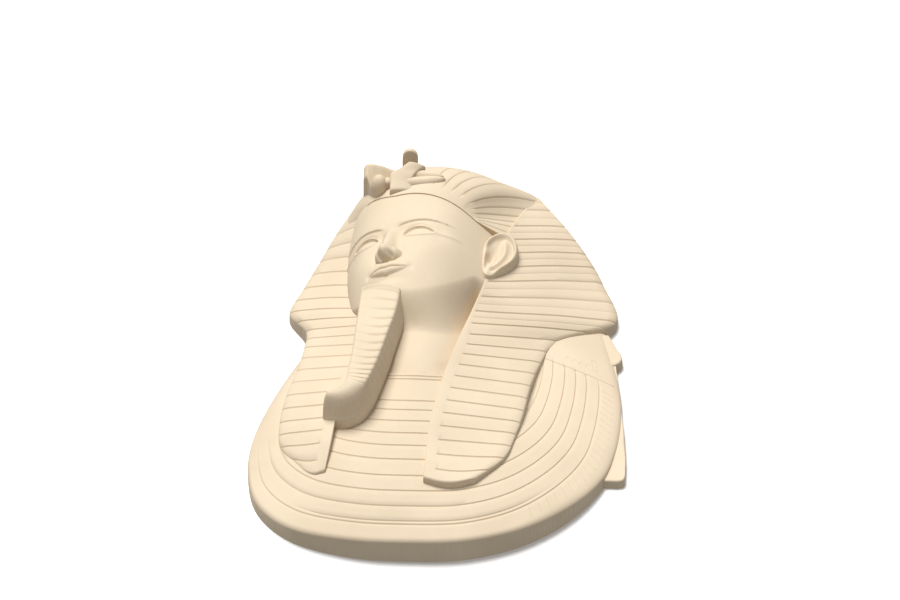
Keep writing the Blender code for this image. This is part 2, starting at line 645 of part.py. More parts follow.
def cobra_head(collection):
    """Cobra's head: an upright block with an arched top and a plain front."""
    rows = []
    for inside in (0.0, 0.5, 1.5, 4.0, COBRA_DEPTH):
        row = []
        for turn in spread(180, 0, 11):
            x = COBRA_HEAD[0] + COBRA_HALF_WIDTH * math.cos(math.radians(turn))
            top = mix(COBRA_BASE, COBRA_TOP, math.sin(math.radians(turn)) ** 0.8)
            drop = quarter_round(inside, 1.5) + 3 * ease(inside, 4, COBRA_DEPTH)
            row.append((x, COBRA_HEAD[1] + inside, top - drop))
        rows.append(row)
    return relief_solid("cobra_head", rows, collection)


def strand(name, ends, collection):
    """Rounded ridge that tapers to its end, for one turn of the cobra's coil."""
    start, end = ends
    length = math.dist(start[:2], end[:2])
    along = ((end[0] - start[0]) / length, (end[1] - start[1]) / length)
    rows = []
    for place in spread(0.0, 1.0, 9):
        x, y, z = mix(start, end, place)
        fullness = (1 - place**3) ** 0.7
        half = COIL_WIDTH * fullness / 2 + 0.5
        row = []
        for turn in spread(-90, 90, 7):
            off = half * math.sin(math.radians(turn))
            height = z - COIL_DIP * (1 - fullness) + COIL_RISE * (math.cos(math.radians(turn)) - 1)
            row.append((x - along[1] * off, y + along[0] * off, height))
        rows.append(row)
    return relief_solid(name, rows, collection)


def ornaments(collection):
    """Vulture's head and rearing cobra on the brow band, with the coil of the cobra's body."""
    return [
        hood(collection),
        crest(collection),
        cobra_head(collection),
        dome("vulture_head", VULTURE_HEAD, VULTURE_RADII, VULTURE_BASE, VULTURE_RISE, collection),
        dome("vulture_beak", BEAK, BEAK_RADII, BEAK_BASE, BEAK_RISE, collection, segments=8),
        strand("coil_lower", COIL_LOWER, collection),
        strand("coil_upper", COIL_UPPER, collection),
    ]


def cutting_box(collection):
    """Block under the back, which trims every solid flush."""
    shape = bmesh.new()
    bmesh.ops.create_cube(shape, size=1)
    box = mesh_object("cut_below_back", shape, collection)
    box.scale = (LENGTH * 2, LENGTH * 2, LENGTH)
    box.location.z = -LENGTH / 2
    return box


def add_boolean(solid, other, operation):
    modifier = solid.modifiers.new(other.name, "BOOLEAN")
    modifier.operation = operation
    modifier.solver = "EXACT"
    modifier.object = other


def build():
    for thing in list(bpy.data.objects):
        bpy.data.objects.remove(thing)
    kept = bpy.data.collections.new("pharaoh_bust")
    helpers = bpy.data.collections.new("pharaoh_bust_forms")
    bpy.context.scene.collection.children.link(kept)
    bpy.context.scene.collection.children.link(helpers)
    forms = [
        collar(helpers),
        side_panel("panel_right", RIGHT_INNER, RIGHT_OUTER, helpers),
        side_panel("panel_left", LEFT_INNER, LEFT_OUTER, helpers),
        head(helpers),
        crown(helpers),
        ear(helpers),
        beard(helpers),
        prism("flap", FLAP_OUTLINE, FLAP_THICKNESS, helpers),
        prism("shoulder", SHOULDER_OUTLINE, SHOULDER_THICKNESS, helpers),
    ]
    forms += ornaments(helpers)
    bust = forms.pop(0)
    helpers.objects.unlink(bust)
    kept.objects.link(bust)
    bust.name = "pharaoh_relief"
    bust.data.materials.append(material("cream_stone", (0.86, 0.73, 0.58), 0.75))
    for form in forms:
        add_boolean(bust, form, "UNION")
    add_boolean(bust, cutting_box(helpers), "DIFFERENCE")
    for helper in helpers.objects:
        helper.hide_render = True
        helper.display_type = "WIRE"


build()
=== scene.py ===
"""Looks of the pharaoh's relief bust: its finely carved surface in cream stone, on a pale studio floor.

The figure is drawn in units of its own length, DRAWN_LENGTH of them from the collar's rim to the crown,
and each carved form is a fine grid over a named outline whose sides go straight down to the flat back.
"""

import math

import bmesh
import bpy
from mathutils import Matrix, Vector


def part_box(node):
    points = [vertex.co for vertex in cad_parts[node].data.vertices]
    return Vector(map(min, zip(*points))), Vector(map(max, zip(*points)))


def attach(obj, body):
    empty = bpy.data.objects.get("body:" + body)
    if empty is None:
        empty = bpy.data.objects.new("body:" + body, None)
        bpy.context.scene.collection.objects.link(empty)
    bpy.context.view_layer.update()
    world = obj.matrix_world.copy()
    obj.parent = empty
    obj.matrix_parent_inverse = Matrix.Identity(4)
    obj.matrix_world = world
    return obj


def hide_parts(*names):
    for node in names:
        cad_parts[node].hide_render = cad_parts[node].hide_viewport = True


DRAWN_LENGTH = 535.0
CENTRE_X = 3.6
CENTRE_Y = 267.0

GROOVE_DEPTH = 1.3
GROOVE_HALF_WIDTH = 1.3
FAINT_SHARE = 0.35
FAINT_WIDTH = 0.7
# Profile of one groove: place across it in half widths, and share of its depth
GROOVE_PROFILE = ((-1.2, 0.0), (-0.75, 0.15), (-0.35, 0.6), (0.0, 1.0), (0.3, 0.8), (0.6, 0.25), (0.8, 0.0))

# Collar: outer rim from the left shoulder round to the right one, as x, y and height of the rim
COLLAR_RIM = (
    (-126, 322, 12), (-151, 270, 14), (-174, 216, 15), (-190, 165, 15), (-194.5, 118, 15),
    (-183, 64, 17), (-146, 24, 22), (-86, 4, 28), (-25, 0, 30), (38, 5, 30), (98, 28, 28),
    (146, 67, 25), (178, 115, 19), (191, 165, 16), (194, 215, 15), (189, 262, 14), (172, 338, 12),
)
COLLAR_GROOVES = (0.088, 0.106, 0.185, 0.268, 0.352, 0.445, 0.527, 0.602, 0.678, 0.748, 0.808, 0.955, 0.978)
ROW_SHIFT = 0.085
# The second line of the double one along the rim shows only at the bottom, between these rows
DOUBLE_FROM = 0.097
DOUBLE_UNTIL = 0.12
INNER_FADE = 0.6
COLLAR_GROOVE_SHARE = 0.9
COLLAR_EDGE_STEPS = (0.0, 0.2, 0.6, 1.2, 2.0, 3.0, 4.2, 5.8, 7.6)
COLLAR_COLUMNS = 170
RIM_ROUND = 4.0
RIM_ROUND_RIGHT = 9.0
NECK_CENTRE = (-23, 300)
NECK_HALF_WIDTH = 78
NECK_DROP = 92
NECK_HEIGHT = 73
SHOULDER_HEIGHT = 35
NECK_TURN = 0.3
# Marks on the collar's right shoulder, placed by row from the rim and by side
TERMINAL_EDGE = ((0.03, 0.925), (0.62, 0.915))
ZIGZAG_ROWS = (0.15, 0.34)
ZIGZAG_SIDES = (0.938, 0.945)
ZIGZAG_PEAKS = 8
BOX_MARK = ((0.085, 0.938), (0.085, 0.953), (0.12, 0.953), (0.12, 0.938))
RIM_STROKE_SIDES = (0.64, 0.9)
RIM_STROKES = 22
MARK_WIDTH = 1.1
MARK_RISE = 0.5

# Headcloth sides, two stripes to each step, from the lappet's end up to the fold: x, y and height
STRIPES = 22
STRIPE_SPACING = 17
FAINT_FROM = 13
BORDER = 11
RIGHT_INNER = (
    (-8, 66, 58), (-6.7, 98, 62), (-4.9, 136, 66), (0.3, 173, 68), (7.2, 209, 68.5), (14.6, 242, 68),
    (22.3, 272, 67), (32.2, 309, 67), (44, 352, 68), (55, 396, 67), (68.2, 443.5, 60), (90, 509.7, 37),
)
RIGHT_OUTER = (
    (46, 71, 54), (75, 106, 51), (86, 144, 49), (93, 179, 49), (98, 220, 45), (107, 263, 37),
    (123, 305, 27), (182, 350, 11), (167, 406, 12), (148, 443, 18), (124, 476, 27), (94, 511, 35),
)
LEFT_INNER = (
    (-112, 83, 46.5), (-107, 115, 58), (-103, 147, 63), (-96, 182, 67), (-82, 219, 67), (-76, 255, 64),
    (-72, 288, 60), (-70, 317, 59), (-72, 352, 58), (-76, 393, 61), (-78, 434, 72), (-74, 473, 84),
)
LEFT_OUTER = (
    (-140, 97, 36.5), (-160, 127, 36), (-163, 161, 38), (-158, 200, 39), (-149, 245, 32), (-143, 286, 25),
    (-142, 317, 19), (-161, 350, 10.5), (-149, 383, 13), (-133, 420, 18), (-118, 456, 23), (-96, 496, 33),
)
LAPPET_SWELL = 3.0
WING_SWELL = 5.5
WING_BORDER = 3.0
LEAST_WIDTH = 34.0
OUTER_ROUND = 11.0
INNER_ROUND = 1.4
END_ROUND = 4.0
END_BOW = 7.0

# Crown of the headcloth: its edge on the brow, and its outline round the top and down both folds
BAND_LEVEL = 446
BAND_DROP = 16
BAND_REACH = 70
BAND_TILT = 0.3
FRONTLET_STEP = 1.5
BAND_END = 73
BAND_TILT_REACH = 30
CROWN_TOP = (
    (-122, 446, 14), (-106, 478, 24), (-84, 508, 34), (-50, 527, 44), (-10, 534, 48), (30, 531, 46),
    (62, 522, 40), (93, 510, 35), (82, 470, 47), (73, 447, 55), (65, 424, 61),
)
CROWN_GROOVES = (0.46, 0.52, 0.58, 0.645, 0.72, 0.76, 0.80, 0.85, 0.905, 0.955)
CREST_SIDE = 0.70
LEFT_SINK = 20.0
LEAST_HEIGHT = 2.0
FOLD_HOLLOW = 3.0

# Head: turned to the viewer's left, in its own axes (across, up, forward from the brow)
HEAD_TURN = math.radians(24)
HEAD_X = -56
HEAD_HEIGHT = 97
HEAD_HALF_WIDTH = 74
HEAD_DEPTH = 68
NECK_X = -22
NECK_RADIUS = 62
NECK_TOP = 72
FACE_THIRD = 49.0
CHIN_LEVEL = 298.0
BROW_LEVEL = CHIN_LEVEL + 2 * FACE_THIRD
NOSE_LEVEL = CHIN_LEVEL + FACE_THIRD
NOSE_TIP_LEVEL = NOSE_LEVEL + 7
MOUTH_LEVEL = NOSE_LEVEL - FACE_THIRD / 3
EYE_LEVEL = BROW_LEVEL - 12
EYE_SPACING = 30
EYE_HALF_LENGTH = 15.5
NOSE_HALF_WIDTH = 13
MOUTH_HALF_WIDTH = 22
JAW_RISE = 50
JAW_POWER = 3.0
NECKLINE_LEVEL = NECK_CENTRE[1] - NECK_DROP
HEAD_BOTTOM = NECKLINE_LEVEL - 8
HEAD_TOP = 456
HEAD_REACH = 93
CHEEK_SHARE = 0.865
CHEEK_CURVE = 2.0
FOREHEAD_LEVEL = BROW_LEVEL + 14
TUCK = 12.0
NECK_SPREAD = 0.82

# Beard: plaited, from the chin to its hooked tip
BEARD_LEFT = (
    (-84, 301, 103), (-85, 272, 106), (-87, 238, 108), (-89, 204, 109), (-92, 176, 109), (-94, 163, 108),
    (-98, 159, 105), (-106, 157, 100), (-114, 156.5, 95),
)
BEARD_RIGHT = (
    (-36, 299, 103), (-39, 272, 106), (-46, 238, 108), (-53, 204, 109), (-60, 176, 109), (-67, 156, 109),
    (-78, 142, 106), (-96, 138, 100), (-117.5, 147, 92),
)
BEARD_PLAITS = 22
PLAIT_SAG = 4.0
BEARD_TOP_BOW = 13.0
PLAIT_DEPTH = 1.7
BEARD_SIDE = ((0.0, 26.0), (3.0, 13.0), (6.0, 2.2), (6.8, 0.9), (8.0, 0.3), (9.5, 0.0), (19.0, 0.0))
# The hook's front, as distance inside its edge and drop: a soft roll with a curled ridge under it
HOOK_FRONT = (
    (0.0, 36.0), (1.0, 31.0), (2.2, 29.5), (3.4, 27.0), (4.4, 20.0),
    (6.0, 13.0), (8.5, 7.5), (11.0, 4.0), (15.0, 1.0), (19.0, 0.0),
)
# Columns of the beard's grid, as distances inside its left edge and inside its right one
BEARD_LEFT_STEPS = (0.0, 0.4, 1.2, 2.5, 4.0)
BEARD_RIGHT_STEPS = (19, 15, 12, 10, 8.5, 7.6, 6.8, 6, 5, 4.2, 3.4, 2.6, 1.8, 0.9, 0.0)
BEARD_FULL_WIDTH = 30
PLAIT_ROWS = 8

EAR_CENTRE = (57, 388)
EAR_HALF_WIDTH = 19
EAR_HALF_LENGTH = 34
EAR_LEAN = math.radians(-17)
EAR_HEIGHT = 70
EAR_SLOPE = -0.25
EAR_STEPS = 84

# Ornament on the brow: the cobra's hood, both animals' heads, the vulture's crest and the coil
HOOD_LEFT = ((-60, 450, 101), (-60, 459, 104), (-59.5, 469, 108), (-51, 473, 111), (-41, 480, 115))
HOOD_RIGHT = ((-36.5, 451, 100), (-37.5, 459, 104), (-36, 465.5, 108), (-31, 472, 109.5), (-23.5, 477, 112))
HOOD_RISE = 34
COBRA_HEAD = (-40, 488)
COBRA_HALF_WIDTH = 8.2
COBRA_DEPTH = 6.0
COBRA_BASE = 108
COBRA_TOP = 122
COBRA_NECK = (-40, 484)
COBRA_NECK_RADII = (7.5, 8.0)
COBRA_NECK_BASE = 100
COBRA_NECK_RISE = 5
VULTURE_HEAD = (-71.5, 464)
VULTURE_RADII = (9.0, 9.4)
VULTURE_BASE = 92
VULTURE_RISE = 15
BEAK = (-62.5, 464.5)
BEAK_RADII = (4.2, 4.6)
BEAK_BASE = 99
# The crest's back edge as x and height, and its front edge as x and y
CREST_BACK = ((-88.5, 103), (-85, 107.5), (-78, 108), (-69, 105.5), (-60, 101), (-50, 97))
CREST_FRONT = ((-88.5, 471), (-84.5, 469), (-80, 460), (-74, 455), (-66, 453), (-50, 453))
CREST_BACK_Y = 484
CREST_SLOPES = (0.45, 0.8)
COIL_LOWER = ((-42, 462, 106.5), (-2, 467.5, 107))
COIL_UPPER = ((-42, 474.5, 108), (-4, 470, 107.5))
COIL_WIDTH = 12.0
COIL_RISE = 8.0
COIL_DIP = 4.0
DOME_STEPS = 48

STONE_DARK = (0.585, 0.478, 0.34, 1)
STONE_LIGHT = (0.645, 0.53, 0.385, 1)
# Noise in the stone, as spots per metre along x, y and z
MOTTLE_SPOTS = (14, 14, 14)
SHEEN_SPOTS = (60, 60, 60)
GRAIN_SPOTS = (900, 900, 900)
PORE_SPOTS = (700, 700, 700)
STREAK_SPOTS = (450, 450, 6)
STREAK_DEPTH = 0.0008
PORE_DEPTH = 0.0004
PORE_STRENGTH = 0.35

FLOOR_SIZE = 30
FLOOR_COLOUR = (0.95, 0.95, 0.95, 1)
SKY_LIGHT = 0.42
SUN_LIGHT = 4.05
SUN_SPREAD = math.radians(26)
SUN_LEAN = (math.radians(-16), math.radians(-12), 0)
# Camera: its direction, the picture's width in pixels, one pixel in drawing units, and where the
# drawing's origin lies from the picture's middle, in pixels
AZIMUTH = math.radians(2.5)
ELEVATION = math.radians(45)
PICTURE_WIDTH = 900
PIXEL = 1.05
ORIGIN_LEFT = 22
ORIGIN_BELOW = 262.5
CAMERA_DISTANCE = 2

# Tail of the headcloth and the shoulder's end, as x and y
TAIL_OUTLINE = (
    (166, 118), (194, 118), (198.5, 119), (201, 121.5), (201.8, 126),
    (201.4, 150), (198, 190), (193, 226), (184, 296), (166, 296),
)
TAIL_THICKNESS = 11.5
SHOULDER_OUTLINE = (
    (176, 286), (184, 288), (189, 292), (191.5, 298), (190, 305),
    (185, 313), (180, 324), (175, 333), (150, 333), (150, 286),
)
SHOULDER_THICKNESS = 13.5
SHARP_ANGLE = math.radians(38)


def spline(points, share):
    """The point at a share, 0 to 1, of a smooth curve through points spaced evenly along it."""
    last = len(points) - 1
    place = min(max(share, 0.0), 1.0) * last
    start = min(int(place), last - 1)
    part = place - start
    near = [points[min(max(start + step, 0), last)] for step in (-1, 0, 1, 2)]
    weights = (
        -0.5 * part + part**2 - 0.5 * part**3,
        1 - 2.5 * part**2 + 1.5 * part**3,
        0.5 * part + 2 * part**2 - 1.5 * part**3,
        -0.5 * part**2 + 0.5 * part**3,
    )
    return tuple(sum(w * point[axis] for w, point in zip(weights, near)) for axis in range(len(points[0])))


def mix(first, second, share):
    """A number, or a point, at a share of the way from first to second."""
    if isinstance(first, (int, float)):
        return first + (second - first) * share
    return tuple(a + (b - a) * share for a, b in zip(first, second))


def ease(value, low, high):
    """0 below low, 1 above high and a smooth S between."""
    part = min(max((value - low) / (high - low), 0.0), 1.0)
    return part * part * (3 - 2 * part)


def bump(distance, reach):
    """A soft hill, 1 at no distance and near nothing past twice its reach."""
    return math.exp(-((distance / reach) ** 2))


def spread(start, end, count):
    """Evenly spaced numbers, both ends included."""
    return [start + (end - start) * index / (count - 1) for index in range(count)]


def quarter_round(inside, radius):
    """How far a rounded edge of this radius has dropped at a distance inside it."""
    short = max(0.0, 1 - inside / radius)
    return radius * (1 - math.sqrt(max(0.0, 1 - short * short)))


def grooved_rows(grooves, start, end, between):
    """Rows along a grooved surface as (place, share of depth), for grooves as (centre, half width, share)."""
    rows = []
    edge = start
    for centre, half_width, share in grooves:
        first = centre + GROOVE_PROFILE[0][0] * half_width
        rows += [(place, 0.0) for place in spread(edge, first, between + 2)[:-1]]
        rows += [(centre + part * half_width, depth * share) for part, depth in GROOVE_PROFILE[:-1]]
        edge = centre + GROOVE_PROFILE[-1][0] * half_width
    return rows + [(place, 0.0) for place in spread(edge, end, between + 2)]


def relief(shape, rows, ring=False):
    """Adds a closed form under a grid of points: straight sides down to the back, and a flat underside."""
    grid = [[shape.verts.new(Vector(point)) for point in row] for row in rows]
    width = len(grid[0])
    for lower, upper in zip(grid, grid[1:]):
        for column in range(width if ring else width - 1):
            after = (column + 1) % width
            shape.faces.new((lower[column], lower[after], upper[after], upper[column]))
    if ring:
        shape.faces.new(grid[-1])
        edge = grid[0]
    else:
        right = [row[-1] for row in grid[1:-1]]
        left = [row[0] for row in reversed(grid[1:-1])]
        edge = grid[0] + right + grid[-1][::-1] + left
    foot = [shape.verts.new((vertex.co.x, vertex.co.y, 0)) for vertex in edge]
    for index, vertex in enumerate(edge):
        after = (index + 1) % len(edge)
        shape.faces.new((foot[index], foot[after], edge[after], vertex))
    shape.faces.new(foot)


def neck_ring(angle):
    """A point of the neckline, and the collar's height there."""
    x = NECK_CENTRE[0] - NECK_HALF_WIDTH * math.cos(angle)
    y = NECK_CENTRE[1] - NECK_DROP * math.sin(angle)
    return (x, y, mix(SHOULDER_HEIGHT, NECK_HEIGHT, max(0.0, math.sin(angle)) ** 3))


def collar_point(row, side, sunk):
    """A point of the collar: row runs from 0 at the rim to 1 at the neckline, side from 0 at left to 1."""
    x, y, rim = spline(COLLAR_RIM, side)
    neck = neck_ring(mix(-NECK_TURN, math.pi + NECK_TURN, side))
    row += ROW_SHIFT * ease(side, 0.55, 0.85) * ease(row, 0, 0.09) * (1 - ease(row, 0.4, 1))
    height = mix(neck[2], rim, (1 - min(row, 1)) ** mix(3.2, 2, ease(side, 0.15, 0.45)))
    return (*mix((x, y), neck[:2], row), height - sunk)


def collar(shape):
    """Broad collar: a slab with a rounded rim and a groove between each two rows."""
    span = NECKLINE_LEVEL
    grooves = [(place, GROOVE_HALF_WIDTH / span, COLLAR_GROOVE_SHARE) for place in COLLAR_GROOVES]
    rows = [(inside / span, 0.0) for inside in COLLAR_EDGE_STEPS]
    rows += grooved_rows(grooves, RIM_ROUND_RIGHT / span, 1.0, 2)
    grid = []
    for place, share in rows:
        row = []
        for side in spread(0, 1, COLLAR_COLUMNS):
            shown = ease(side, mix(0.2, 0.3, place), mix(0.3, 0.4, place)) * (1 - ease(side, 0.915, 0.925))
            shown *= 1 - INNER_FADE * ease(place, 0.4, 0.6) * ease(side, 0.62, 0.74)
            radius = mix(RIM_ROUND, RIM_ROUND_RIGHT, ease(side, 0.6, 0.75))
            rim = quarter_round(min(place * span, radius), radius) * mix(1, 0.6, ease(side, 0.6, 0.75))
            if DOUBLE_FROM < place < DOUBLE_UNTIL:
                shown *= ease(side, 0.35, 0.42) * (1 - ease(side, 0.6, 0.7))
            row.append(collar_point(place, side, rim + GROOVE_DEPTH * share * shown))
        grid.append(row)
    relief(shape, grid)


def collar_stroke(shape, start, end, width, rise):
    """A low ridge on the collar between two places, each as (row, side)."""
    line = [collar_point(*mix(start, end, place), 0) for place in spread(0.0, 1.0, 6)]
    across = (line[-1][1] - line[0][1], line[0][0] - line[-1][0])
    length = math.hypot(*across)
    grid = []
    for x, y, z in line:
        row = []
        for part in (-1.0, -0.6, 0.0, 0.6, 1.0):
            off = part * width / 2 / length
            row.append((x + across[0] * off, y + across[1] * off, z + rise * (1 - part * part) - 0.2))
        grid.append(row)
    relief(shape, grid)


def collar_marks(shape):
    """Marks on the right shoulder: the terminal's edge, a zigzag, a small box and strokes along the rim."""
    collar_stroke(shape, *TERMINAL_EDGE, 1.6, 0.8)
    peaks = spread(*ZIGZAG_ROWS, ZIGZAG_PEAKS)
    near, far = ZIGZAG_SIDES
    for index, (start, end) in enumerate(zip(peaks, peaks[1:])):
        low, high = (near, far) if index % 2 else (far, near)
        collar_stroke(shape, (start, low), (end, high), MARK_WIDTH, 0.45)
    for start, end in zip(BOX_MARK, BOX_MARK[1:] + BOX_MARK[:1]):
        collar_stroke(shape, start, end, MARK_WIDTH, MARK_RISE)
    for side in spread(*RIM_STROKE_SIDES, RIM_STROKES):
        collar_stroke(shape, (0.035, side), (0.075, side + 0.002), 1.2, MARK_RISE)


def side_panel(shape, inner, outer, faint_from):
    """One side of the headcloth with its lappet: a padded strip whose stripes stop short of its border."""
    grooves = []
    for index in range(1, STRIPES):
        grooves.append((index / STRIPES, GROOVE_HALF_WIDTH / STRIPE_SPACING / STRIPES, 1.0))
        if index >= faint_from:
            half_width = GROOVE_HALF_WIDTH * FAINT_WIDTH / STRIPE_SPACING / STRIPES
            grooves.append(((index + 0.5) / STRIPES, half_width, FAINT_SHARE))
    stripe = math.dist(inner[0][:2], inner[1][:2]) / 2
    ends = [(inside / stripe / STRIPES, 0.0) for inside in (0.0, 0.2, 0.6, 1.2, 2.0, 3.0)]
    rows = []
    for place, share in ends + grooved_rows(grooves, END_ROUND / stripe / STRIPES, 1.0, 1):
        start, end = spline(inner, place), spline(outer, place)
        width = math.dist(start[:2], end[:2])
        narrow = min(1.0, width / LEAST_WIDTH)
        wing = ease(place, 0.5, 0.65)
        border = mix(BORDER, WING_BORDER, wing)
        swell = mix(LAPPET_SWELL, WING_SWELL, wing) * (1 - ease(place, 0.75, 1.0))
        bow = END_BOW * (1 - ease(place, 0.0, 0.14))
        firsts = [0.0, 0.4, 1.2, border - 0.8, border, border + 1, border + 2, border + 4]
        lasts = [OUTER_ROUND, 9, 7.2, 5.6, 4.2, 3, 2, 1.2, 0.6, 0.2, 0.0]
        places = [inside * narrow for inside in firsts]
        places += spread((BORDER + 6) * narrow, width - (OUTER_ROUND + 2) * narrow, 12)
        places += [width - gap * narrow for gap in lasts]
        end_drop = quarter_round(place * stripe * STRIPES, END_ROUND)
        row = []
        for inside in places:
            part = inside / width
            sunk = GROOVE_DEPTH * share * ease(inside, border * narrow, (border + 2) * narrow)
            lift = swell * (1 - quarter_round(width - inside, OUTER_ROUND * narrow) / OUTER_ROUND / narrow)
            lift *= mix(1, ease(part, 0, 0.7), wing)
            drop = quarter_round(inside, INNER_ROUND) * 0.6 + end_drop
            x, y, z = mix(start, end, part)
            row.append((x, y - bow * math.sin(math.pi * part), z + lift - sunk - drop))
        rows.append(row)
    relief(shape, rows)


def band_level(across):
    """Level of the headcloth's edge on the forehead: highest left of the middle, and lower at the temples."""
    out = min(abs(across), BAND_END)
    tilt = BAND_TILT * min(max(-across, 0), BAND_TILT_REACH)
    return BAND_LEVEL - BAND_DROP * (out / BAND_REACH) ** 3 + tilt


def crown_brow(side):
    """A point of the headcloth's edge on the forehead: the crown's lines mostly leave it near the temple."""
    across = mix(-67, BAND_END, 1 - (1 - side) ** 2.2)
    x, y, z = head_point(across, band_level(across))
    return (x, y, z + FRONTLET_STEP)


def crown_point(side, rise, sunk):
    """A point of the crown: side 0 at the left fold, 1 at the right; rise 0 at the brow, 1 at the outline."""
    brow, top = crown_brow(side), spline(CROWN_TOP, side)
    roundness = mix(2.5, 1.3, ease(side, 0.6, 0.85))
    hollow = ease(side, CREST_SIDE, CREST_SIDE + 0.045) * (1 - ease(side, CREST_SIDE + 0.1, 1.0))
    height = top[2] + (brow[2] - top[2]) * (1 - rise**roundness)
    height -= LEFT_SINK * (1 - ease(side, 0.0, 0.12)) + FOLD_HOLLOW * hollow * math.sin(math.pi * rise) ** 0.8
    return (mix(brow[0], top[0], rise**1.3), mix(brow[1], top[1], rise), max(height - sunk, LEAST_HEIGHT))


def crown(shape):
    """Top of the headcloth: a dome whose grooves fan from the right temple, with a crest above the ear."""
    grooves = [(side, mix(0.0045, 0.007, ease(side, 0.68, 0.8)), 1.0) for side in CROWN_GROOVES]
    sides = [(side, 0.0) for side in spread(0.0, 0.44, 16)[:-1]] + grooved_rows(grooves, 0.44, 1.0, 2)
    rows = []
    for rise in [0.0, 0.004, 0.012, 0.025] + spread(0.05, 1.0, 50):
        row = []
        for side, share in sides:
            fade = ease(rise, 0.1, 0.28) * (1 - ease(rise, 0.97, 1.0))
            row.append(crown_point(side, rise, GROOVE_DEPTH * share * fade))
        rows.append(row)
    relief(shape, rows)


def swelling(across, level, centre, radii, height):
    """Height of a rounded lump over an oval, steep at its edge."""
    far = ((across - centre[0]) / radii[0]) ** 2 + ((level - centre[1]) / radii[1]) ** 2
    return height * math.sqrt(max(0.0, 1 - far)) * ease(1 - far, 0.0, 0.12)


def blend(first, second, reach=2.0):
    """The larger of two heights, with the seam between them rounded."""
    gap = max(0.0, 1 - abs(first - second) / reach)
    return max(first, second) + gap * gap * reach / 4


def nose(across, level):
    """Height of the nose over the face: a bridge that widens to the tip, its wings and its nostrils."""
    tip_level = NOSE_TIP_LEVEL
    down = min(max((BROW_LEVEL + 2 - level) / (BROW_LEVEL + 2 - tip_level), 0.0), 1.0)
    half_width = mix(8.0, 9.0, down)
    ridge = max(0.0, 1 - (across / (half_width * 1.5)) ** 2) ** 2
    bridge = (3 * ease(down, 0, 0.25) + 14 * down) * ridge * ease(level, NOSE_LEVEL - 1, tip_level)
    tip = swelling(across, level, (0, tip_level - 1), (9.5, 9.0), 19.5)
    side = abs(across)
    wing = swelling(side, level, (NOSE_HALF_WIDTH - 6, tip_level - 1.5), (8.2, 8.0), 12.5)
    nostril = -4.5 * bump(side - 6.0, 3.0) * bump(level - NOSE_LEVEL, 2.6)
    shade = -1.2 * bump(side - NOSE_HALF_WIDTH - 3, 3) * bump(level - tip_level, 8)
    return blend(blend(bridge, tip, 6.0), wing, 6.0) + nostril + shade


def eye(across, level):
    """Height of one eye over the face: socket, ball, lids, crease and the line drawn out from its corner."""
    out = abs(across) - EYE_SPACING
    along = out / EYE_HALF_LENGTH
    fill = max(0.0, 1 - abs(along) ** 2.2)
    corner = EYE_LEVEL + 0.6 * along
    upper = corner + 7.8 * fill**0.8
    lower = corner - 5.2 * fill**0.9
    socket = -7.0 * bump(out + 4, 20) * bump(level - EYE_LEVEL - 3, 11)
    ball = 6.6 * max(0.0, 1 - (along / 1.35) ** 2) ** 1.5 * bump(level - EYE_LEVEL - 1, 11)
    inside = ease(level, lower - 0.3, lower + 0.8) * (1 - ease(level, upper - 0.8, upper + 0.3))
    inside *= abs(along) < 1
    ends = 1 - ease(abs(along), 0.9, 1.12)
    upper_lid = 2.0 * bump(level - upper - 1.0, 1.5) * ends
    lower_lid = 1.3 * bump(level - lower + 0.9, 1.2) * ends
    drawn = 2.0 * bump(level - corner - 0.5 + 0.08 * max(0.0, out - 14), 2.1) * ease(out, 11, 16)
    drawn *= 1 - ease(out, 32, 37)
    crease = -1.0 * bump(level - upper - 4.6, 1.1) * (1 - ease(abs(along), 0.75, 1.1))
    return socket + ball - 1.5 * inside + max(upper_lid, lower_lid, drawn) + crease


def brow(across, level):
    """Height of the eyebrows: a raised band that arches over each eye, cut crisp along its lower edge."""
    out = abs(across)
    arch = BROW_LEVEL + 3 + 5 * math.sin(min(max((out - 8) / 50, 0.0), 1.0) * math.pi * 0.9)
    shown = ease(out, 5, 14) * (1 - ease(out, 56, 63))
    thick = mix(2.8, 1.4, ease(out, 12, 60))
    above = level - arch
    return 2.0 * ease(above, -thick, -thick + 1) * (1 - ease(above, thick - 0.6, thick + 0.6)) * shown


def mouth(across, level):
    """Height of the mouth and chin over the face."""
    out = min(abs(across) / MOUTH_HALF_WIDTH, 1.0)
    parting = MOUTH_LEVEL + 1.0 - 1.2 * bump(across, 4) - 0.6 * out**2 + 2.6 * out**4
    full = (1 - out**2) ** 0.8
    upper = max(0.3, 7.6 * full - 1.1 * bump(across, 3))
    lower = max(0.3, 8.4 * full)
    place = level - parting
    height = 0.0
    if 0 <= place < upper:
        height = 3.6 * (4 * place / upper * (1 - place / upper)) ** 0.6 * full
    elif -lower < place < 0:
        height = 4.6 * (4 * -place / lower * (1 + place / lower)) ** 0.6 * full
    seam = -1.4 * bump(place, 0.9) * (1 - ease(abs(across), 21, 25))
    corner = -1.6 * bump(abs(across) - MOUTH_HALF_WIDTH - 2, 3) * bump(place, 4)
    swell = 5.5 * bump(across, 25) * bump(level - MOUTH_LEVEL, 17)
    philtrum = -1.2 * bump(across, 3.0) * bump(level - MOUTH_LEVEL - 12, 3.6)
    hollow = -1.6 * bump(across, 15) * bump(level - MOUTH_LEVEL + 13, 4.5)
    chin = 5.5 * bump(across, 17) * bump(level - CHIN_LEVEL - 9, 10)
    return height + seam + corner + swell + philtrum + hollow + chin


def jaw_rise(across):
    """How far the jaw's lower edge has risen above the chin."""
    return JAW_RISE * (min(abs(across), HEAD_HALF_WIDTH) / HEAD_HALF_WIDTH) ** JAW_POWER


